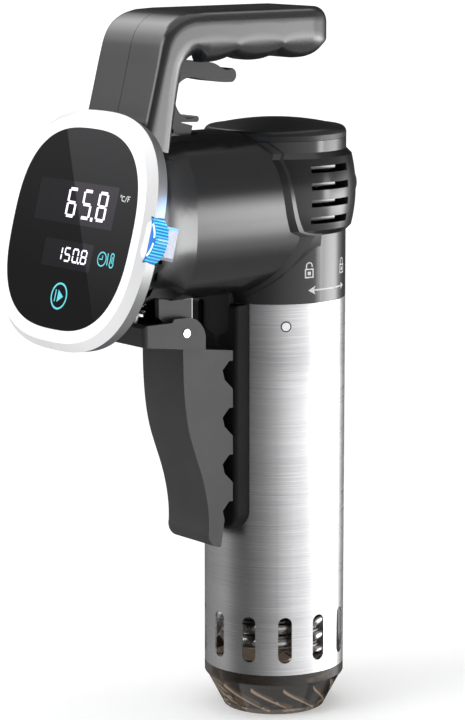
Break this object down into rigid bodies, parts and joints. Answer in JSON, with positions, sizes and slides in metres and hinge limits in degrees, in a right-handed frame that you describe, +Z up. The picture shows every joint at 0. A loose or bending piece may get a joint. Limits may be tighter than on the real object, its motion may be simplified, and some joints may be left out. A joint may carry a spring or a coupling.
{
  "type": "sous vide circulator",
  "caption": "Clamp-on water heater and pump: steel tube with slotted foot, head with a side barrel and tilted display, thumb wheel, grip handle with trigger, toothed clamp jaw.",
  "frame": {"origin": "centre of the pump cap's flat foot", "axes": "+Z up the tube's axis; the display, barrel and clamp are on the -Y side; +X is the side with the thumb wheel"},
  "size_m": [0.1019, 0.1576, 0.301],
  "materials": {
    "steel": "circumferentially brushed stainless steel",
    "bright_steel": "bright stainless steel",
    "smoke": "smoky brown see-through plastic",
    "gloss_black": "gloss black plastic",
    "satin_black": "satin black plastic",
    "glass_black": "black display glass",
    "silver": "satin silver lacquer",
    "wheel_blue": "translucent blue, lit from inside",
    "handle_grey": "fine matte charcoal plastic",
    "clamp_grey": "matte dark grey plastic",
    "rubber_black": "black rubber",
    "board_green": "green circuit board",
    "motor_metal": "motor can",
    "white_plastic": "off-white nylon"
  },
  "bodies": {
    "head": {"head_housing": "gloss_black", "cord_gland": "rubber_black", "head_lid": "satin_black", "barrel_housing": "gloss_black", "display_back_cover": "gloss_black", "bezel": "silver", "display_glass": "glass_black", "display_board": "board_green", "wheel_encoder": "satin_black", "wheel_fairing": "silver", "handle_right": "handle_grey", "handle_left": "handle_grey", "handle_screws": "bright_steel", "trigger_guide": "satin_black", "spring_cup": "satin_black", "clamp_spring": "bright_steel", "clamp_bracket": "clamp_grey", "clamp_pin": "bright_steel", "pad_holder": "clamp_grey", "tube_pad": "rubber_black", "heating_coil": "bright_steel", "wet_flange": "white_plastic", "flange_seal": "rubber_black", "shaft_column": "bright_steel", "lower_bearing": "white_plastic", "upper_bearing": "white_plastic", "temperature_probe": "bright_steel", "level_probes": "bright_steel", "motor_carrier": "white_plastic", "flange_screws": "bright_steel", "motor": "motor_metal", "power_board": "board_green"},
    "trigger_unit": {"trigger": "clamp_grey", "pull_rod": "bright_steel", "rod_collar": "bright_steel"},
    "lever": {"thumb_arm": "clamp_grey", "jaw_arm": "clamp_grey", "rod_cross_pin": "bright_steel"},
    "wheel": {"scroll_wheel": "wheel_blue"},
    "sleeve": {"steel_sleeve": "steel", "pump_cap": "smoke", "sleeve_rivets": "bright_steel"},
    "rotor": {"drive_shaft": "bright_steel", "impeller": "white_plastic", "fan_wheel": "white_plastic"}
  },
  "joints": [
    {"name": "trigger_slide", "type": "slide", "parent": "head", "child": "trigger_unit", "axis": [0, 0.2554, 0.9668], "range_m": [0, 0.005], "stiffness_N_per_m": 1200, "springref_m": -0.008, "deforming": ["clamp_spring"]},
    {"name": "clamp_hinge", "type": "hinge", "parent": "head", "child": "lever", "pos_m": [0, -0.0594, 0.1701], "axis": [1, 0, 0], "range_deg": [-18.7, 0]},
    {"name": "wheel_spin", "type": "hinge", "parent": "head", "child": "wheel", "pos_m": [0.043, -0.09915, 0.21465], "axis": [0, -0.9668, 0.2554], "continuous": true},
    {"name": "sleeve_twist", "type": "hinge", "parent": "head", "child": "sleeve", "pos_m": [0, 0, 0.1], "axis": [0, 0, 1], "range_deg": [-30, 0]},
    {"name": "rotor_spin", "type": "hinge", "parent": "head", "child": "rotor", "pos_m": [0, 0, 0.1], "axis": [0, 0, 1], "continuous": true}
  ],
  "couplings": [
    {"joint": "clamp_hinge", "follows": "trigger_slide", "rad_per_m": -65}
  ]
}
